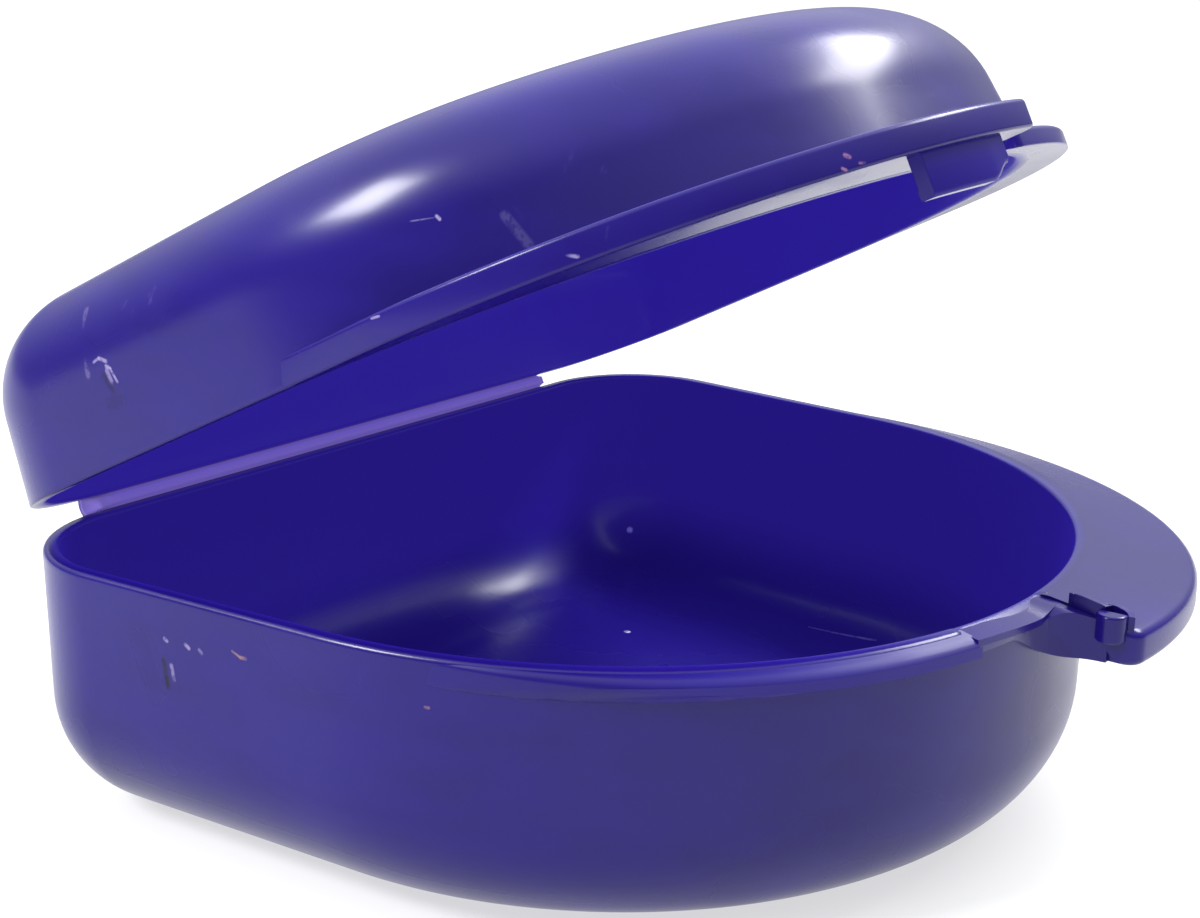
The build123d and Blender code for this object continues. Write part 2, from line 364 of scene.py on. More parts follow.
def arc_through(radius, offset, x, y):
    """Centre, offset to one side, of the circle whose front passes through x and y."""
    return np.array([offset, y + sqrt(radius**2 - (x - offset) ** 2)])


flange_centre = arc_through(flange_radius, flange_offset, 0.0, front_y - flange_reach)
lap_centre = arc_through(lap_radius, lap_offset, lap_end, front_y - lap_width)
print("flange arc centre in mm:", (flange_centre / mm).round(2))

# %% Distance outside the rim
def rim_radius(angle):
    """Distance of the rim from the front arc's centre: the arc, then the straight side."""
    return front_radius / np.cos(np.maximum(angle + side_taper, 0))


def outside_rim(points):
    """How far points lie outside the rim, measured from the front arc's centre."""
    away = points - front_centre
    return np.linalg.norm(away, axis=-1) - rim_radius(np.arctan2(away[..., 1], away[..., 0]))


tip = np.array([0, front_y - flange_reach])
print("the flange reaches", round(float(outside_rim(tip)) / mm, 2), "mm out from the rim")

# %% Edge of a crescent
edge_points = 110
crescent_bite = 0.06 * mm


def sideways(along):
    """Unit normals of a line from its steps: each step turned left by a right angle."""
    aside = np.column_stack([-along[:, 1], along[:, 0]])
    return aside / np.linalg.norm(aside, axis=1)[:, None]


def crescent_edge(centre, radius, end_x, corner, soft=1.0 * mm):
    """Edge of a crescent on the +X side: it leaves the wall without a corner, follows the arc, and
    turns round a small corner into the end face at x = end_x. The distance outside the rim is the
    arc's own beyond soft, and below it the parabola that meets the wall at a tangent."""
    trial = arc(0, 60, 600)
    begin = degrees(trial[np.argmax(outside_rim(polar(centre, radius, trial)[0]) < -soft)])
    corner_x = end_x + corner
    corner_y = centre[1] - sqrt((radius - corner) ** 2 - (corner_x - centre[0]) ** 2)
    corner_middle = np.array([corner_x, corner_y])
    meet = degrees(np.arctan2(*(corner_middle - centre)[::-1]))
    edge, normal = polar(centre, radius, arc(begin, meet, edge_points))
    out = outside_rim(edge)
    share = np.clip((out + soft) / (2 * soft), 0, 1)
    eased = soft * share**2 - crescent_bite * (1 - share) ** 2
    radial = (edge - front_centre) / np.linalg.norm(edge - front_centre, axis=1)[:, None]
    edge = edge + (np.where(out < soft, eased - out, 0)[:, None]) * radial
    aside = sideways(np.gradient(edge, axis=0))
    aside = aside * np.sign((aside * normal).sum(axis=1))[:, None]
    normal = np.where((out < soft)[:, None], aside, normal)
    turned, turned_normal = polar(corner_middle, corner, arc(meet, -180, 14)[1:])
    return np.vstack([edge, turned]), np.vstack([normal, turned_normal])


print("a crescent's edge has", edge_points, "points, and 13 more round its corner")

# %% [markdown]
# A flange or a band is swept along its edge. A flat plate with a bevel would do for a square
# edge, but these have a sloping face, two different roundings and a swollen foot. So at every
# station a section goes from inside the wall out to the edge, round it, and back.

# %% Section swept along an edge
sunk = 0.6 * mm
across_points, turn_points = 18, 7
lower_points = across_points + turn_points - 1


def level(height):
    """Flat face at height."""
    return lambda out: np.full(out.shape, height)


def falling(out, slope=flange_slope):
    """Face that falls away by slope outside the rim, and stays level over the wall."""
    return -slope * np.maximum(out, 0)


def inner_edge(edge, depth_in):
    """The rim's own points behind an edge's, depth_in inside its wall, on the same end face."""
    away = edge - front_centre
    angle = np.arctan2(away[:, 1], away[:, 0])
    end = -np.arccos(edge[-1, 0] / (front_radius - depth_in)) - angle[-1]
    angle = angle + end * np.linspace(0, 1, len(edge)) ** 6
    return polar(front_centre, rim_radius(angle) - depth_in, angle)[0]


def swept(edge, normal, top, bottom, ease_top, ease_bottom, toe=0.0, lean=0.0):
    """Sections along an edge. top and bottom give heights at a distance outside the rim, eases
    round the outer edge, and the toe swells the underside where it meets the wall. lean draws the
    upper edge in at the start of the edge, as far as the wall behind it, and fades along it."""
    inner = inner_edge(edge, sunk)
    share = smooth(np.linspace(1, 0, len(edge)), 0.55, 1.0)[:, None]
    upper_edge = edge - lean * share * normal
    room = 0.48 * np.linalg.norm(edge - inner, axis=1)
    ease_top, ease_bottom = np.minimum(ease_top, room), np.minimum(ease_bottom, room)
    across = np.linspace(0, 1, across_points)[:, None, None] ** 1.3
    lower_turn = arc(-90, 0, turn_points)[1:, None]
    upper_turn = arc(0, 90, turn_points)[:, None]
    foot = edge - ease_bottom[:, None] * normal
    head = upper_edge - ease_top[:, None] * normal
    lower = inner + across * (foot - inner)
    upper = (inner + across * (head - inner))[::-1]
    lower_round = foot + (ease_bottom * np.cos(lower_turn))[..., None] * normal
    upper_round = head + (ease_top * np.cos(upper_turn))[..., None] * normal
    plan = np.concatenate([lower, lower_round, upper_round, upper[1:]])
    out = outside_rim(plan)
    out_low, out_high = out[:lower_points], out[lower_points:]
    still = np.zeros((across_points, len(edge)))
    lift = np.concatenate([still, ease_bottom * (1 + np.sin(lower_turn))])
    drop = np.concatenate([ease_top * (1 - np.sin(upper_turn)), still[1:]])
    swell = toe * np.clip(1 - np.clip(out_low, 0, None) / max(toe, mm), 0, 1) ** 2
    height = np.concatenate([bottom(out_low) + lift - swell, top(out_high) - drop])
    return np.dstack([plan, height]).transpose(1, 0, 2)


print("a section has", 2 * lower_points, "points")

# %% [markdown]
# The tray's thumb flange is the large crescent on the right that a thumb pushes down. Its top
# falls away from the rim and its underside is level. Swept from the named arc, its outer edge
# keeps one radius, as a turned mould would give it.

# %% The tray's thumb flange
flange_ease = 0.6 * mm
flange_depth = 4.0 * mm

edge, normal = crescent_edge(flange_centre, flange_radius, 0.0, flange_corner)
grid = swept(edge, normal, lambda out: falling(out) - hair, level(-flange_depth),
             flange_ease, flange_ease)
tray_flange = surface("tray_thumb_crescent", grid + [0, 0, rim_z], bevel=plain_bevel)
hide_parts("tray_thumb_flange")
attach(tray_flange, "tray")

# %% [markdown]
# The lid has the mirror image of that crescent on the left, set back a little and thinner, to
# carry the hook. On the right it has only a thin lap, which lies over the tray's flange when the
# case is shut, so its underside falls away at the same slope. All three come from one recipe.

# %% The lid's latch flange and lap
latch_inset, latch_end, latch_height = 1.2 * mm, 1.8 * mm, 2.1 * mm
latch_soft, latch_lean = 1.4 * mm, 0.13 * mm
latch_ease_top, latch_ease_foot = 0.35 * mm, 0.25 * mm
lap_height, lap_ease_top, lap_ease_foot = 1.0 * mm, 0.4 * mm, 0.12 * mm

edge, normal = crescent_edge(flange_centre, flange_radius - latch_inset, latch_end,
                             flange_corner, soft=latch_soft)
grid = swept(edge, normal, level(latch_height), level(hair),
             latch_ease_top, latch_ease_foot, lean=latch_lean)
grid = open_lid(grid * [-1, 1, 1] + [0, 0, lid_z])
lid_flange = surface("lid_latch_crescent", grid, flip=True, bevel=plain_bevel)
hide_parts("lid_latch_flange")
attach(lid_flange, "lid")

edge, normal = crescent_edge(lap_centre, lap_radius, lap_end, lap_corner)
grid = swept(edge, normal, level(lap_height), lambda out: falling(out) + hair,
             lap_ease_top, lap_ease_foot)
lap = surface("lid_lap_lip", open_lid(grid + [0, 0, lid_z]), bevel=thin_bevel)
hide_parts("lid_lap_flange")
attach(lap, "lid")

# %% [markdown]
# The band is a raised lip under the near part of the tray's rim, which the hook snaps over. It
# grows out of the wall over its whole length and stops square at the latch. It could be a pipe
# along the rim, but the real one has a soft toe below, so it is swept like the flanges.

# %% The tray's rim band
band_width, band_depth = 1.2 * mm, 1.3 * mm
band_hidden = 0.45 * mm
band_slope, band_shoulder = 0.4, 0.5 * mm
band_ease_top, band_ease_foot, band_toe = 0.9 * mm, 0.5 * mm, 0.8 * mm
band_begin, band_grown = -4, 62


def widening_edge(width, end_x):
    """Edge of a band on the +X side that grows out of the wall to its full width."""
    stop = degrees(np.arccos(end_x / (front_radius + width)))
    angle = arc(-band_begin, -stop, edge_points)
    grown = (width + band_hidden) * smooth(-angle, radians(band_begin), radians(band_grown))
    return polar(front_centre, rim_radius(angle) + (grown - band_hidden), angle)


edge, normal = widening_edge(band_width, -band_end)
grid = swept(edge, normal, lambda out: falling(out + band_shoulder, band_slope) - hair,
             level(-band_depth), band_ease_top, band_ease_foot, band_toe)
# The band takes up to 0.3 of the inner faces' lighter colour and glow, none where it grows out of
# the wall: painted light. It is also rougher there.
band_glow = 0.3 * smooth(np.linspace(0, 1, len(edge)), 0.3, 0.8)
band = surface("tray_rim_lip", grid * [-1, 1, 1] + [0, 0, rim_z], flip=True, bevel=thin_bevel,
               inside=band_glow)
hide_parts("tray_rim_band")
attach(band, "tray")

# %% [markdown]
# The latch is small. The lid's hook is an L: a wall under the edge of the flange and a sloping
# shelf at its foot that reaches under the tray's band. A box with a cut would miss how the wall
# follows the flange's arc. So the L is a list of corners, carried along the arc, and the shelf
# grows and fades on the way.

# %% Hook
hook_end, hook_start = -14.8 * mm, -6.3 * mm
hook_radius = flange_radius - 2.1 * mm
hook_wall = 1.0 * mm
hook_depth = 2.85 * mm
hook_root = 0.3 * mm
hook_shelf = 0.75 * mm
hook_tip = 0.15 * mm
hook_cut = 0.35 * mm
hook_rise, hook_rise_from = 1.0 * mm, -8.6 * mm
tooth_share, tooth_grows, tooth_fades = 0.5, (-13.2 * mm, -11.0 * mm), (-9.2 * mm, -7.8 * mm)
grip_radius = front_radius + band_width - 0.7 * mm


def arc_front(x, radius, centre):
    """y of the front of a circle at each x."""
    return centre[1] - np.sqrt(radius**2 - (x - centre[0]) ** 2)


def section_grid(x, corners):
    """Stations at each x, each with the same (y, z) corners, given as arrays or levels."""
    return np.stack([np.column_stack([x, y + 0 * x, z + 0 * x]) for y, z in corners], axis=1)


x = np.linspace(hook_end, hook_start, 50)
own_side = flange_centre * [-1, 1]
outer_y = arc_front(x, hook_radius, own_side)
wall_y = arc_front(x, hook_radius - hook_wall, own_side)
tooth = tooth_share * smooth(x, *tooth_grows) * (1 - smooth(x, *tooth_fades))
grip_y = wall_y + 0.1 * mm + tooth * (arc_front(x, grip_radius, front_centre) - wall_y)
foot = hook_rise * smooth(x, hook_rise_from, hook_start) - hook_depth
top = np.maximum(hook_shelf - hook_depth, foot + 0.2 * mm)
grid = section_grid(x, [
    (outer_y, hook_root), (outer_y, foot + hook_cut), (outer_y + 0.5 * hook_cut, foot),
    (wall_y, foot), (grip_y, top - hook_tip), (grip_y, top),
    (wall_y, top + 0.01 * mm), (wall_y, hook_root),
])
# inside=0.3 gives the hook a share of the inner faces' lighter, purer blue and their glow: painted
# light.
hook = surface("lid_hook", open_lid(grid + [0, 0, lid_z]), bevel=wide_bevel, inside=0.3)
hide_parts("lid_latch_hook")
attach(hook, "lid")

# %% [markdown]
# Between the band and the thumb flange the rim dips, and a low ledge runs under it. Left as a
# plain bar it would meet the flange's end face in a step. The real one swings out in a fillet and
# climbs to just under the flange's top, so every corner of its section is a curve along x.

# %% Ledge
ledge_width, ledge_lip, ledge_height = 0.9 * mm, 0.5 * mm, 1.9 * mm
ledge_end = 0.6 * mm
ledge_sunk = -0.8 * mm
ledge_under = 0.15 * mm
gusset = 4.6 * mm
dip, dip_more = 0.45 * mm, 0.35 * mm
foot_falls, top_climbs = (-5.5 * mm, -0.5 * mm), (-3.0 * mm, -0.4 * mm)


def out_y(out):
    """y of a line that lies out in front of the rim at each station of the ledge."""
    return arc_front(x, front_radius, front_centre) - out


def under_flange(height, out):
    """Height of a ledge point that climbs to just below the flange's top towards its end face."""
    return height + rise * (falling(out) - ledge_under - height)


x = band_end + (ledge_end - band_end) * np.sin(arc(0, 90, 90))
fillet = gusset - np.sqrt(np.clip(gusset**2 - np.clip(x + gusset, 0, None) ** 2, 0, None))
flange_foot = flange_depth - hair - ledge_height
foot = -ledge_height - flange_foot * smooth(x, *foot_falls)
drop = dip + dip_more * smooth(x, band_end, -1 * mm)
rise = smooth(x, *top_climbs)
brow = ledge_width + 0 * x
grid = section_grid(x, [
    (out_y(ledge_sunk), under_flange(-0.35 * drop, 0 * x)),
    (out_y(ledge_sunk), foot),
    (out_y(np.maximum(fillet, 0.1 * mm)), foot),
    (out_y(np.maximum(fillet, 0.3 * mm)), under_flange(-drop - ledge_lip - 0.25 * mm, fillet)),
    (out_y(brow), under_flange(-drop - ledge_lip, brow)),
    (out_y(brow), under_flange(-drop, brow) + 0.01 * mm),
])
ledge = surface("tray_ledge", grid + [0, 0, rim_z], bevel=plain_bevel)
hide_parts("tray_catch_ledge")
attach(ledge, "tray")

# %% [markdown]
# A half round column stands on the end face of the thumb flange, and a leaf half a millimetre
# thin stands beside it and curls round it. Both are simple prisms: the column is its plan stacked
# at four levels, and the leaf is a line with a wall on each side. Their places come from the
# frame's boxes.

# %% Column
column_low, column_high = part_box("tray_end_column")
column_radius = -column_low.x
column_root = 0.3 * mm
column_middle = np.array([0.0, (column_low.y + column_high.y) / 2])
ring = np.vstack([
    polar(column_middle, column_radius, arc(90, 270, 21))[0],
    column_middle + [column_root, -column_radius],
    column_middle + [column_root, column_radius],
])
levels = np.linspace(column_low.z, column_high.z, 4)
grid = np.stack([np.column_stack([ring, 0 * ring[:, 0] + z]) for z in levels])
column = surface("tray_column", grid, flip=True, bevel=wide_bevel)
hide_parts("tray_end_column")
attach(column, "tray")

# %% Post
post_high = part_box("tray_latch_post")[1]
post_wall = 0.5 * mm
post_height = 1.1 * mm
post_x = 0.3 * mm + post_wall / 2
straight = np.linspace(post_high.y + 0.6 * mm, column_middle[1] + 0.55 * mm, 12)
curl = polar(column_middle, column_radius + post_wall / 2, arc(60, -75, 16))[0]
leaf = np.vstack([np.column_stack([0 * straight + post_x, straight]), curl])
aside = sideways(np.gradient(leaf, axis=0)) * post_wall / 2
leaf_foot = rim_z + falling(outside_rim(leaf)) - 0.2 * mm
leaf_top = np.minimum(post_high.z, leaf_foot + post_height)
grid = np.stack([
    np.column_stack([leaf + aside, leaf_foot]), np.column_stack([leaf + aside, leaf_top]),
    np.column_stack([leaf - aside, leaf_top]), np.column_stack([leaf - aside, leaf_foot]),
], axis=1)
post = surface("tray_post", grid, bevel=plain_bevel)
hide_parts("tray_latch_post")
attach(post, "tray")

# %% [markdown]
# The hinge is a web of the same plastic, less than half a millimetre thick. It loops back from
# one wall to the other and bends along its whole length as the lid swings. Two plates with a pin
# would be a different hinge. On the side that the photograph shows, the web carries a soft ridge,
# so its inner arc is pulled out to a bead, except at its two ends.

# %% Loop of the living hinge
web_low, web_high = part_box("living_hinge")
web_thickness = 0.45 * mm
web_seat = 0.75 * mm
bead_middle = np.array([34.0, 21.26]) * mm
bead_radius = 0.79 * mm
bead_from, bead_to = 225, 80
seat_overlap = 4
loop_points = 60


def circle_through(a, b, c):
    """Centre and radius of the circle through three points of a plane: the centre is as far from
    a as from b and from c, which gives two linear equations."""
    rows = 2 * np.array([b - a, c - a])
    right = np.array([b @ b - a @ a, c @ c - a @ a])
    centre = np.linalg.solve(rows, right)
    return centre, np.linalg.norm(a - centre)


tray_seat = np.array([back_y, rim_z - web_seat])
lid_seat = open_lid(np.array([[0, back_y, lid_z + web_seat]]))[0, 1:]
web_crest = np.array([web_high.y - web_thickness / 2, (tray_seat[1] + lid_seat[1]) / 2])
web_centre, web_radius = circle_through(tray_seat, web_crest, lid_seat)
first = degrees(np.arctan2(*(tray_seat - web_centre)[::-1]))
last = degrees(np.arctan2(*(lid_seat - web_centre)[::-1]))
bend = arc(first - seat_overlap, last + seat_overlap, loop_points)
outer_arc = polar(web_centre, web_radius + web_thickness / 2, bend)[0]
thin_arc = polar(web_centre, web_radius - web_thickness / 2, bend)[0]
bead = polar(bead_middle, bead_radius, arc(bead_from, bead_to, loop_points))[0]
pull = smooth(1 - abs(np.linspace(-1, 1, loop_points)), 0.35, 0.7)[:, None]
full_arc = thin_arc + pull * (bead - thin_arc)
thin_loop = np.vstack([outer_arc, thin_arc[::-1]])
full_loop = np.vstack([outer_arc, full_arc[::-1]])
print("web bends round", round(web_radius / mm, 2), "mm")

# %% Web along the back
web_shift = 0.7 * mm
bead_ends = 1.8 * mm
web_x = np.linspace(web_low.x - web_shift, web_high.x - web_shift, 90)
filled = smooth(np.minimum(web_x - web_x[0], web_x[-1] - web_x), 0, bead_ends)
plan = thin_loop + filled[:, None, None] * (full_loop - thin_loop)
grid = np.dstack([np.repeat(web_x[:, None], len(thin_loop), axis=1), plan])

# The web's painted glow and paler tint, which stand in for light shining through it, are
# brightest on the top of its ridge, and faint on its back.
ridge_light = 0.30 + 0.90 * np.sin(arc(0, 180, loop_points)) ** 1.5
back_light = np.full(loop_points, 0.15)
lightest = np.concatenate([back_light, ridge_light]) * (0.4 + 0.6 * filled[:, None])
web = surface("hinge_web", grid, flip=True, bevel=0.06 * mm, inside=lightest)
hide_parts("living_hinge")

# %% [markdown]
# All of it is one plastic, so one shader recipe serves every piece, with its own marks added
# where the photograph shows them. The nodes could be wired by hand, one by one. A small class
# lets a wire between nodes be added and multiplied like a number instead, so a pattern reads as a
# formula.

# %% Wires that can be added and multiplied
class Wire:
    """Output of a node. Arithmetic on it makes Math nodes and gives a new wire."""

    def __init__(self, shader, socket):
        self.shader, self.socket = shader, socket

    def math(self, operation, first, second):
        settings = {"operation": operation}
        return self.shader.node("ShaderNodeMath", settings, {0: first, 1: second})

    def __add__(self, other):
        return self.math("ADD", self, other)

    def __radd__(self, other):
        return self.math("ADD", other, self)

    def __sub__(self, other):
        return self.math("SUBTRACT", self, other)

    def __rsub__(self, other):
        return self.math("SUBTRACT", other, self)

    def __mul__(self, other):
        return self.math("MULTIPLY", self, other)

    def __rmul__(self, other):
        return self.math("MULTIPLY", other, self)

    def least(self, other):
        return self.math("MINIMUM", self, other)

    def most(self, other):
        return self.math("MAXIMUM", self, other)

    def between(self, low, high, to_low=0.0, to_high=1.0):
        """Soft step from to_low at low to to_high at high."""
        settings = {"interpolation_type": "SMOOTHSTEP"}
        values = {"Value": self, "From Min": low, "From Max": high}
        values.update({"To Min": to_low, "To Max": to_high})
        return self.shader.node("ShaderNodeMapRange", settings, values)


print("a wire can be added, subtracted and multiplied, from either side")

# %% One method that makes every node
class Shader:
    """Node tree of a material or a world, whose nodes are made by one method."""

    def __init__(self, owner, ending):
        owner.use_nodes = True
        self.owner, self.tree = owner, owner.node_tree
        self.ending = self.tree.nodes[ending]

    def node(self, kind, settings, values, output=0):
        """New node: its settings first, then its inputs as numbers or wires. Gives one output."""
        made = self.tree.nodes.new(kind)
        for key, setting in settings.items():
            setattr(made, key, setting)
        for key, value in values.items():
            self.feed(made.inputs[key], value)
        return Wire(self, made.outputs[output])

    def feed(self, socket, value):
        if isinstance(value, Wire):
            self.tree.links.new(value.socket, socket)
        else:
            socket.default_value = value

    def set(self, **values):
        """Inputs of the last shader, by name with _ for each space, as numbers or wires."""
        for key, value in values.items():
            self.feed(self.ending.inputs[key.replace("_", " ")], value)

    def place(self):
        """Object coordinates in metres."""
        return self.node("ShaderNodeTexCoord", {}, {}, "Object")

    def vector(self, operation, first, second, output=0):
        settings = {"operation": operation}
        return self.node("ShaderNodeVectorMath", settings, {0: first, 1: second}, output)

    def height(self, place):
        return self.node("ShaderNodeSeparateXYZ", {}, {0: place}, "Z")

    def noise(self, place, scale, detail=2.0, roughness=0.5):
        values = {"Vector": place, "Scale": scale, "Detail": detail, "Roughness": roughness}
        return self.node("ShaderNodeTexNoise", {}, values)

    def mix(self, share, first, second, kind="RGBA"):
        """Colour, or with kind FLOAT a number, between first and second."""
        values = {"Factor": share, "A": first, "B": second}
        return self.node("ShaderNodeMix", {"data_type": kind}, values, "Result")

    def stroke(self, place, start, end, width):
        """1 on the line from start to end and 0 beyond width of it: a point is split into how far
        it lies along the line, kept between the ends, and its distance from there."""
        along = Vector(end) - Vector(start)
        length = max(along.length, 1e-6)
        away = self.vector("SUBTRACT", place, start)
        share = self.vector("DOT_PRODUCT", away, along / length**2, "Value")
        share = share.least(1.0).most(0.0)
        settings, values = {"operation": "SCALE"}, {0: tuple(along), "Scale": share}
        near = self.node("ShaderNodeVectorMath", settings, values)
        return self.vector("DISTANCE", away, near, "Value").between(width, 0.35 * width)

    def bump(self, height, strength, distance):
        values = {"Strength": strength, "Distance": distance, "Height": height}
        return self.node("ShaderNodeBump", {}, values)


print("colours are linear red, green, blue and alpha")

# %% [markdown]
# The plastic is a pearly violet polypropylene. It is glossy but not quite even: faint flow
# clouds in the colour, an orange-peel ripple too small to see except in the reflections, and
# fine rubbed lines where the case slides in and out of a bag.
#
# In the photograph the inside glows a deep, even violet, because daylight comes through the
# walls. Light scattered inside the plastic could be simulated, but that is slow and the exported
# model loses it. So the inner faces give off a little violet light of their own, weaker towards
# the floor of the tray, where the base lies on the table.

# %% Colours of the plastic
violet = (0.0110, 0.0040, 0.150, 1.0)
deep_violet = (0.0085, 0.0030, 0.118, 1.0)
# The two lit colours are lighter copies for the inner faces: painted light, as if lit through the
# wall.
lit_violet = (0.0110, 0.0045, 0.165, 1.0)
deep_lit_violet = (0.0090, 0.0035, 0.135, 1.0)
rubbed_violet = (0.060, 0.045, 0.260, 1.0)
# This pale colour is partly milky plastic from bending and partly painted light: it is mixed in
# strongest along the web's ridge.
stretched_and_backlit_violet = (0.30, 0.22, 0.62, 1.0)

shining_through = (0.0150, 0.0075, 0.165, 1.0)
shining_through_lid = (0.0190, 0.0085, 0.225, 1.0)
shining_through_web = (0.115, 0.080, 0.330, 1.0)
unlit = (0.0, 0.0, 0.0, 1.0)

pale_nick = (0.42, 0.36, 0.62, 1.0)
# This dark colour darkens nicks, and beside the lid's pale scuff it is painted shade.
dark_nick_and_shade = (0.002, 0.001, 0.018, 1.0)
pink_chip = (0.52, 0.26, 0.42, 1.0)
tan_scratch = (0.30, 0.17, 0.14, 1.0)
white_speck = (0.90, 0.88, 1.0, 1.0)

gloss = 0.26
cloud_scale, flow_scale, patch_scale, peel_scale, crumb_scale = 55.0, 160.0, 90.0, 900.0, 2600.0
glow_low, glow_high = 1.0 * mm, 9.0 * mm
glow_on_floor = 0.35
print("plastic roughness", gloss, "and glow full from", round(glow_high / mm, 1), "mm up")

# %% The plastic
def plastic(name, seed, wear, strokes, tint=None, glow=shining_through, dull=0.0):
    """Moulded plastic. wear sets how many rubbed lines and dull patches there are. strokes lists
    marks as start, end, width, colour and strength, in mm. tint is a colour mixed in all over.
    glow is the light that comes through the wall to the inside, and dull roughens the inside."""
    s = Shader(bpy.data.materials.new(name), "Principled BSDF")
    place = s.vector("ADD", s.place(), (seed, 0.7 * seed, -seed))
    inside = s.node("ShaderNodeAttribute", {"attribute_name": "inside"}, {}, "Fac")
    clouds = s.noise(place, cloud_scale, 3.0, 0.55)
    flow = s.noise(s.vector("MULTIPLY", place, (1.0, 0.35, 2.2)), flow_scale)
    share = (0.65 * clouds + 0.35 * flow).between(0.35, 0.65)
    outer, inner = s.mix(share, deep_violet, violet), s.mix(share, deep_lit_violet, lit_violet)
    colour = s.mix(inside, outer, inner)
    if tint:
        colour = s.mix(0.05 + 0.55 * inside, colour, tint)
    rubbed = s.noise(s.vector("MULTIPLY", place, (60.0, 900.0, 420.0)), 1.0, 3.0, 0.6)
    crossed = s.noise(s.vector("MULTIPLY", place, (800.0, 90.0, 260.0)), 1.0, 3.0, 0.6)
    patches = s.noise(place, patch_scale).between(0.5, 0.7)
    lines = (rubbed.between(0.66, 0.74) + crossed.between(0.68, 0.76)).least(1.0)
    lines = lines * patches * wear
    colour = s.mix(0.30 * lines, colour, rubbed_violet)
    rough = gloss + dull * inside + 0.08 * patches * wear + 0.12 * lines + 0.05 * (flow - 0.5)
    height = 0.5 * s.noise(place, peel_scale) - 0.25 * lines
    broken = s.noise(s.place(), crumb_scale, 2.0, 0.6).between(0.38, 0.52)
    for start, end, width, hue, strength in strokes:
        start, end = Vector(start) * mm, Vector(end) * mm
        mark = s.stroke(s.place(), start, end, width * mm) * (0.35 + 0.65 * broken)
        colour = s.mix(strength * mark, colour, hue)
        rough = rough + 0.2 * strength * mark
        height = height - 1.5 * strength * mark
    above_floor = s.height(s.place()).between(glow_low, glow_high, glow_on_floor, 1.0)
    s.set(Base_Color=colour, Roughness=rough, Normal=s.bump(height, 0.12, 0.02 * mm))
    s.set(Emission_Color=s.mix(inside * above_floor, unlit, glow), Emission_Strength=1.0)
    s.set(IOR=1.34, Coat_Weight=0.08, Coat_Roughness=0.14)
    return s.owner


print("the recipe sets colour, roughness, normal and glow")

# %% [markdown]
# The photographed case has been used: nicks near the back corner, a few pink chips, scratches
# and two white specks on the floor of the tray. They could be painted into an image, but none is
# used here. Each mark is a short stroke given by its two ends on the surface, its width in mm, its
# colour and how strong it is, and it also roughens and dents the plastic.

# %% Marks of use
lid_marks = [
    ((-38.9, 21.4, 36.4), (-38.9, 20.9, 36.75), 0.14, pale_nick, 0.45),
    ((-38.9, 20.9, 36.75), (-38.9, 20.1, 36.65), 0.20, pale_nick, 0.50),
    ((-38.9, 20.1, 36.3), (-38.9, 19.7, 36.2), 0.20, pale_nick, 0.50),
    ((-38.9, 19.7, 36.2), (-38.9, 18.9, 35.35), 0.14, pale_nick, 0.50),
    ((-38.9, 20.0, 36.0), (-38.9, 19.5, 35.3), 0.26, pale_nick, 0.35),
    # The dark strokes at the side of this pale scuff are painted shade.
    ((-38.9, 20.4, 35.7), (-38.9, 19.3, 34.7), 0.32, dark_nick_and_shade, 0.55),
    ((-38.9, 19.4, 33.8), (-38.9, 18.6, 34.1), 0.70, dark_nick_and_shade, 0.25),
    ((-37.4, 23.9, 39.6), (-39.0, 21.9, 35.4), 0.36, pale_nick, 0.14),
    ((-38.9, 20.9, 33.6), (-38.9, 20.2, 32.6), 0.15, pale_nick, 0.22),
    ((-21.2, -17.5, 54.4), (-21.0, -17.7, 54.3), 0.30, pink_chip, 0.68),
    ((-34.0, -4.2, 48.4), (-33.3, -5.6, 48.7), 0.09, pale_nick, 0.40),
    ((-33.2, -5.7, 48.8), (-33.1, -5.9, 48.6), 0.16, pale_nick, 0.60),
    ((-31.1, -9.5, 49.0), (-30.7, -11.1, 47.3), 0.45, pale_nick, 0.09),
    ((-30.1, -9.6, 51.4), (-30.1, -9.7, 51.3), 0.15, pale_nick, 0.52),
    ((-31.9, -11.0, 46.9), (-31.6, -11.9, 46.5), 0.18, pale_nick, 0.26),
]
tray_marks = [
    ((-39.2, 14.9, 15.9), (-39.2, 14.6, 13.9), 0.30, dark_nick_and_shade, 1.00),
    ((-39.2, 14.2, 15.6), (-39.2, 14.0, 14.6), 0.24, pale_nick, 0.36),
    ((-39.3, 14.7, 17.5), (-39.3, 14.5, 17.4), 0.22, pale_nick, 0.48),
    ((-39.1, 12.7, 17.5), (-39.1, 12.4, 17.3), 0.21, pale_nick, 0.48),
    ((-39.0, 11.4, 17.4), (-39.0, 11.2, 17.2), 0.21, pale_nick, 0.40),
    ((-38.8, 8.3, 18.0), (-38.7, 7.6, 17.7), 0.13, tan_scratch, 0.72),
    ((-38.7, 7.6, 17.7), (-38.6, 7.1, 17.7), 0.18, tan_scratch, 0.64),
    ((-39.4, 17.0, 16.8), (-39.3, 15.9, 13.4), 1.28, deep_violet, 0.40),
    ((-36.5, -7.4, 17.3), (-36.4, -7.6, 17.3), 0.16, tan_scratch, 0.48),
    ((-37.4, -0.6, 10.8), (-37.2, -1.4, 10.7), 0.12, pale_nick, 0.24),
    ((35.1, 28.2, 4.3), (35.1, 28.2, 4.2), 0.42, white_speck, 1.0),
    ((16.8, 15.0, 1.2), (16.8, 15.1, 1.2), 0.36, white_speck, 1.0),
    ((28.9, 2.0, 1.4), (29.3, -5.0, 1.4), 0.24, pale_nick, 0.40),
]
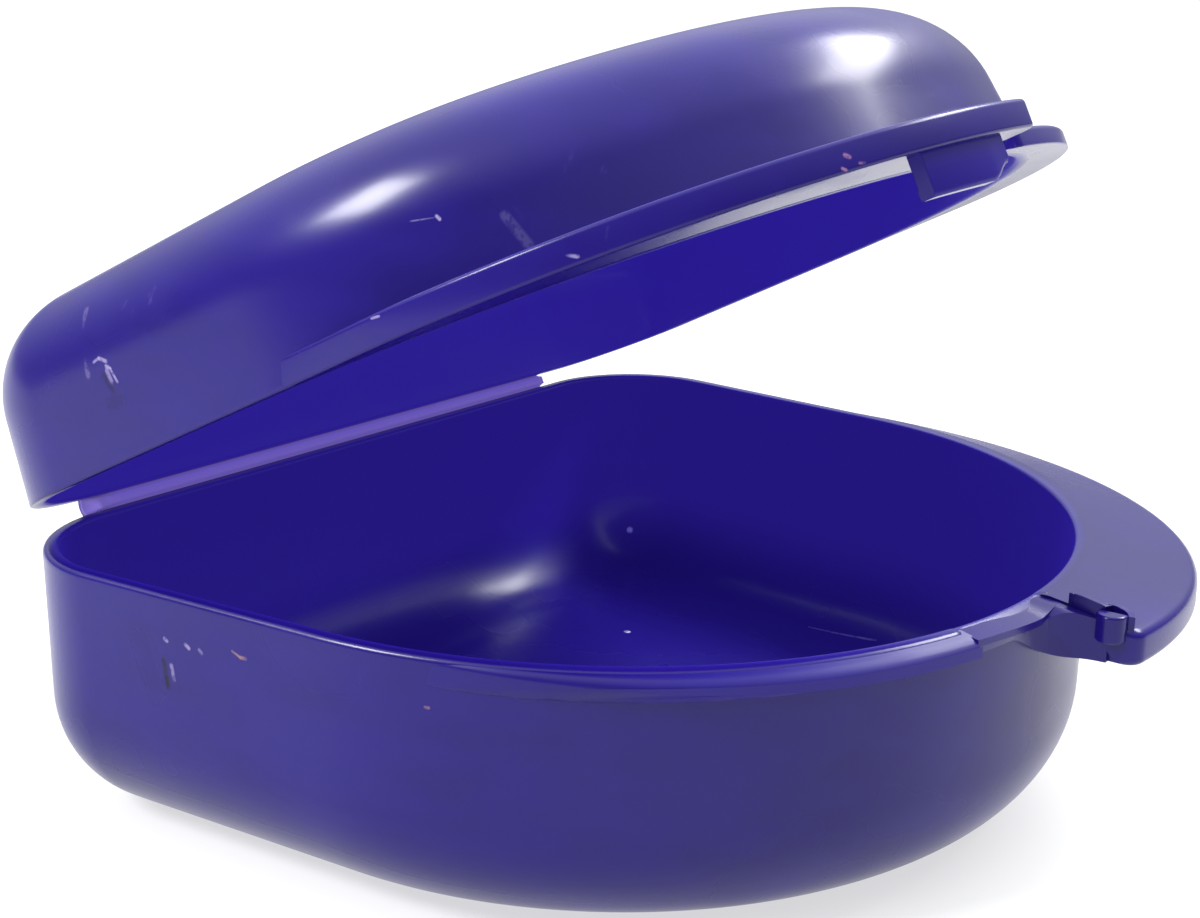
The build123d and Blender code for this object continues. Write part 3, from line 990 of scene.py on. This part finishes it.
lid_flange_marks = [
    ((-20.9, -27.8, 53.4), (-20.7, -28.0, 53.3), 0.23, pink_chip, 0.56),
    ((-21.3, -27.8, 52.6), (-21.1, -28.0, 52.5), 0.14, pink_chip, 0.48),
    ((-20.2, -28.4, 52.9), (-19.9, -28.6, 52.9), 0.14, pink_chip, 0.32),
    ((-33.9, -16.2, 47.6), (-33.3, -17.0, 47.5), 0.17, pale_nick, 0.48),
    ((-37.5, -4.1, 42.7), (-37.4, -4.7, 42.9), 0.12, pale_nick, 0.48),
]
print("marks:", len(lid_marks), "on the lid,", len(tray_marks), "on the tray,",
      len(lid_flange_marks), "on the lid's flange")

# %% [markdown]
# Each piece gets a material of its own, so that the flow clouds don't repeat and the rims are
# more worn than the walls. The web is paler, partly because plastic that is bent often turns
# milky and partly as painted light: its glow and paler tint, strongest along the ridge, stand in
# for light shining through it. It hangs between the two bodies and is attached to neither.

# %% Finish for each piece
finishes = {
    tray: ("violet_tray", 0.11, 0.6, tray_marks, None, "shell_plastic"),
    lid: ("violet_lid", 0.23, 0.7, lid_marks, None, "shell_plastic"),
    tray_flange: ("violet_tray_flange", 0.31, 0.8, (), None, "rim_plastic"),
    lid_flange: ("violet_lid_flange", 0.43, 0.8, lid_flange_marks, None, "rim_plastic"),
    lap: ("violet_lap", 0.53, 0.8, (), None, "rim_plastic"),
    band: ("violet_band", 0.61, 0.8, (), None, "rim_plastic"),
    hook: ("violet_hook", 0.71, 0.5, (), None, "rim_plastic"),
    ledge: ("violet_ledge", 0.83, 0.5, (), None, "rim_plastic"),
    post: ("violet_post", 0.97, 0.6, (), None, "rim_plastic"),
    column: ("violet_column", 1.03, 0.6, (), None, "rim_plastic"),
    web: ("violet_web", 1.13, 0.6, (), stretched_and_backlit_violet, "hinge_plastic"),
}
glow_and_dull = {
    lid: (shining_through_lid, 0.3),
    band: (shining_through, 0.6),
    web: (shining_through_web, 0.0),
}
for piece, (name, seed, wear, strokes, tint, slot) in finishes.items():
    glow, dull = glow_and_dull.get(piece, (shining_through, 0.0))
    piece.data.materials.append(plastic(name, seed, wear, strokes, tint, glow, dull))

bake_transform(web)
print("materials:", len(finishes))

# %% [markdown]
# The case was cut out on white, so it stands on a pale floor that also gives off a little light
# of its own: a grey floor would need so much lamp light that the plastic burns out.

# %% Floor
floor_size = 6.0
floor_light = 0.65
floor_greys = (0.29, 0.29, 0.295, 1), (0.31, 0.31, 0.31, 1)

floor_mesh = bpy.data.meshes.new("floor")
square = np.array([(-1, -1, 0), (1, -1, 0), (1, 1, 0), (-1, 1, 0)])
floor_mesh.from_pydata(floor_size * square, [], [(0, 1, 2, 3)])
floor = bpy.data.objects.new("floor", floor_mesh)
bpy.context.scene.collection.objects.link(floor)
pale = Shader(bpy.data.materials.new("pale_floor"), "Principled BSDF")
dust = pale.noise(pale.place(), 3.0, 3.0)
pale.set(Base_Color=pale.mix(dust, *floor_greys), Roughness=0.7)
pale.set(Emission_Color=(1, 1, 1, 1), Emission_Strength=floor_light)
floor_mesh.materials.append(pale.owner)
print("floor", round(2 * floor_size), "m across")

# %% [markdown]
# The gloss mirrors a bright tent. An even one would make the plastic look flat, so the sky is a
# gradient: brightest overhead and a little towards the far side, dim behind the camera. The
# gradient shows only in reflections and as light, and where the camera sees past the floor, the
# sky is plain white.

# %% Sky
sky_leaning = 0.25
sky_up = 0.97
sky_from, sky_to = 0.1, 1.0
sky_dim, sky_bright = 0.25, 1.8
white_card = 1.05

away_from_camera = Vector((-to_camera.x, -to_camera.y, 0.0)).normalized()
bright_side = away_from_camera * sky_leaning + Vector((0, 0, sky_up))
sky = Shader(bpy.data.worlds.new("tent"), "Background")
direction = sky.node("ShaderNodeTexCoord", {}, {}, "Generated")
facing = sky.vector("DOT_PRODUCT", direction, bright_side, "Value")
gradient = facing.between(sky_from, sky_to, sky_dim, sky_bright)
seen = sky.node("ShaderNodeLightPath", {}, {}, "Is Camera Ray")
sky.set(Color=(0.98, 0.99, 1.0, 1), Strength=sky.mix(seen, gradient, white_card, "FLOAT"))
bpy.context.scene.world = sky.owner
bpy.context.scene.view_settings.view_transform = "Standard"
print("sky from", sky_dim, "to", sky_bright)

# %% [markdown]
# Two soft boxes give the highlights on the dome: a small square one for the left, and a long one
# for the right. Their places were found by mirroring the line of sight at each highlight.

# %% Lamps
lamp_distance = 0.9


def soft_box(name, azimuth, elevation, width, height, power):
    """Rectangular lamp that looks at the case from a direction given in degrees."""
    lamp = bpy.data.lights.new(name, "AREA")
    lamp.shape = "RECTANGLE"
    lamp.size, lamp.size_y, lamp.energy = width, height, power
    made = bpy.data.objects.new(name, lamp)
    bpy.context.scene.collection.objects.link(made)
    aside = towards(radians(azimuth), radians(elevation))
    made.location = camera_target + aside * lamp_distance
    made.rotation_mode = "QUATERNION"
    made.rotation_quaternion = (-aside).to_track_quat("-Z", "Y")
    print(name, "lamp", power, "W")


soft_box("left", -120, 40, 0.26, 0.26, 9.5)
soft_box("right", 66, 46, 0.60, 0.22, 9.5)
